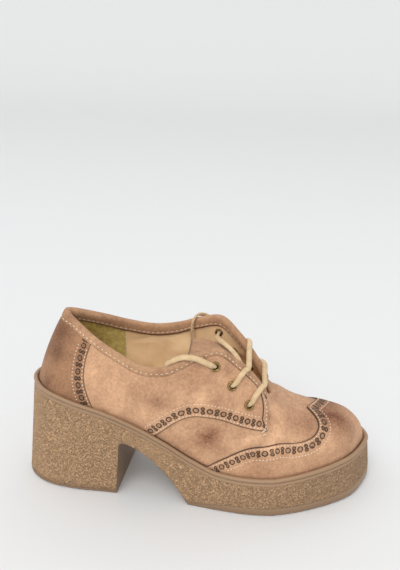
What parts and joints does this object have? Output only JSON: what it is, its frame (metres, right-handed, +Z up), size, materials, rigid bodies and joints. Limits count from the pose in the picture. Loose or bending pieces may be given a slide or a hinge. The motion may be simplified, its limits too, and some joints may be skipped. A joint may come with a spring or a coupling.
{
  "type": "block heel shoe",
  "caption": "Brown suede lace-up shoe with a brogue toe cap, a block heel and a moulded platform sole, standing empty.",
  "frame": {"origin": "on the floor under the middle of the sole seen from above", "axes": "+X towards the toe, +Y towards the inner (medial) side of this right shoe, +Z up"},
  "size_m": [0.26, 0.0942, 0.1316],
  "materials": {
    "suede": "brushed nap, mottled",
    "sole": "matte, crepe texture",
    "lining": "smooth, slightly glossy",
    "brass": "antique",
    "lace": "fine lengthwise rib"
  },
  "bodies": {
    "root": {"sole_unit": "sole", "insole": "lining", "upper": "suede", "tongue": "suede", "toe_cap": "suede", "heel_counter": "suede", "quarter_lateral": "suede", "quarter_medial": "suede", "collar_binding": "suede", "eyelet_lateral_1": "brass", "eyelet_lateral_2": "brass", "eyelet_lateral_3": "brass", "eyelet_medial_1": "brass", "eyelet_medial_2": "brass", "eyelet_medial_3": "brass", "lace_bar_middle": "lace", "lace_bar_lower": "lace", "lace_diagonal": "lace", "lace_end_lateral": "lace", "lace_end_medial": "lace"}
  },
  "joints": []
}
